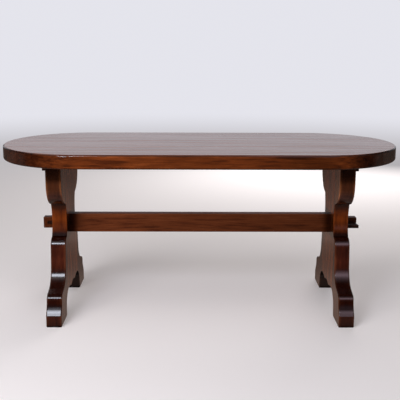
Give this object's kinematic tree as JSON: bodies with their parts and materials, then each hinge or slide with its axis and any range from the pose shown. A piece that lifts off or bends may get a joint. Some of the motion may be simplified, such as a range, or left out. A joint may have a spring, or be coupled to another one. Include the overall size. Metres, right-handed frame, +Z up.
{
  "type": "dining table",
  "caption": "Kitchen table with a thick round-ended top on two shaped plank trestles, joined by a stretcher whose through tenons are held by wedge keys.",
  "frame": {"origin": "on the floor under the middle of the top", "axes": "+X along the length of the top, +Y across it towards the back, +Z up"},
  "size_m": [1.745, 0.728, 0.75],
  "materials": {
    "top_oak": "stained and varnished, satin",
    "trestle_oak": "stained and varnished, glossy",
    "stretcher_oak": "stained and varnished, glossy",
    "key_oak": "stained and varnished, satin",
    "dowel_beech": "raw",
    "screw_steel": "zinc plated"
  },
  "bodies": {
    "table": {"top_board_1": "top_oak", "top_board_2": "top_oak", "top_board_3": "top_oak", "top_board_4": "top_oak", "top_board_5": "top_oak", "top_board_6": "top_oak", "top_board_7": "top_oak", "left_trestle_front_board": "trestle_oak", "left_trestle_rear_board": "trestle_oak", "left_trestle_front_foot": "trestle_oak", "left_trestle_rear_foot": "trestle_oak", "left_trestle_front_scroll": "trestle_oak", "left_trestle_rear_scroll": "trestle_oak", "right_trestle_front_board": "trestle_oak", "right_trestle_rear_board": "trestle_oak", "right_trestle_front_foot": "trestle_oak", "right_trestle_rear_foot": "trestle_oak", "right_trestle_front_scroll": "trestle_oak", "right_trestle_rear_scroll": "trestle_oak", "left_cleat": "trestle_oak", "right_cleat": "trestle_oak", "stretcher": "stretcher_oak", "top_dowels": "dowel_beech", "trestle_dowels": "dowel_beech", "cleat_top_screws": "screw_steel", "cleat_side_screws": "screw_steel"},
    "left_key": {"left_key": "key_oak"},
    "right_key": {"right_key": "key_oak"}
  },
  "joints": [
    {"name": "left_key_slide", "type": "slide", "parent": "table", "child": "left_key", "axis": [0, 1, 0], "range_m": [0, 0.04]},
    {"name": "right_key_slide", "type": "slide", "parent": "table", "child": "right_key", "axis": [0, -1, 0], "range_m": [0, 0.04]}
  ]
}
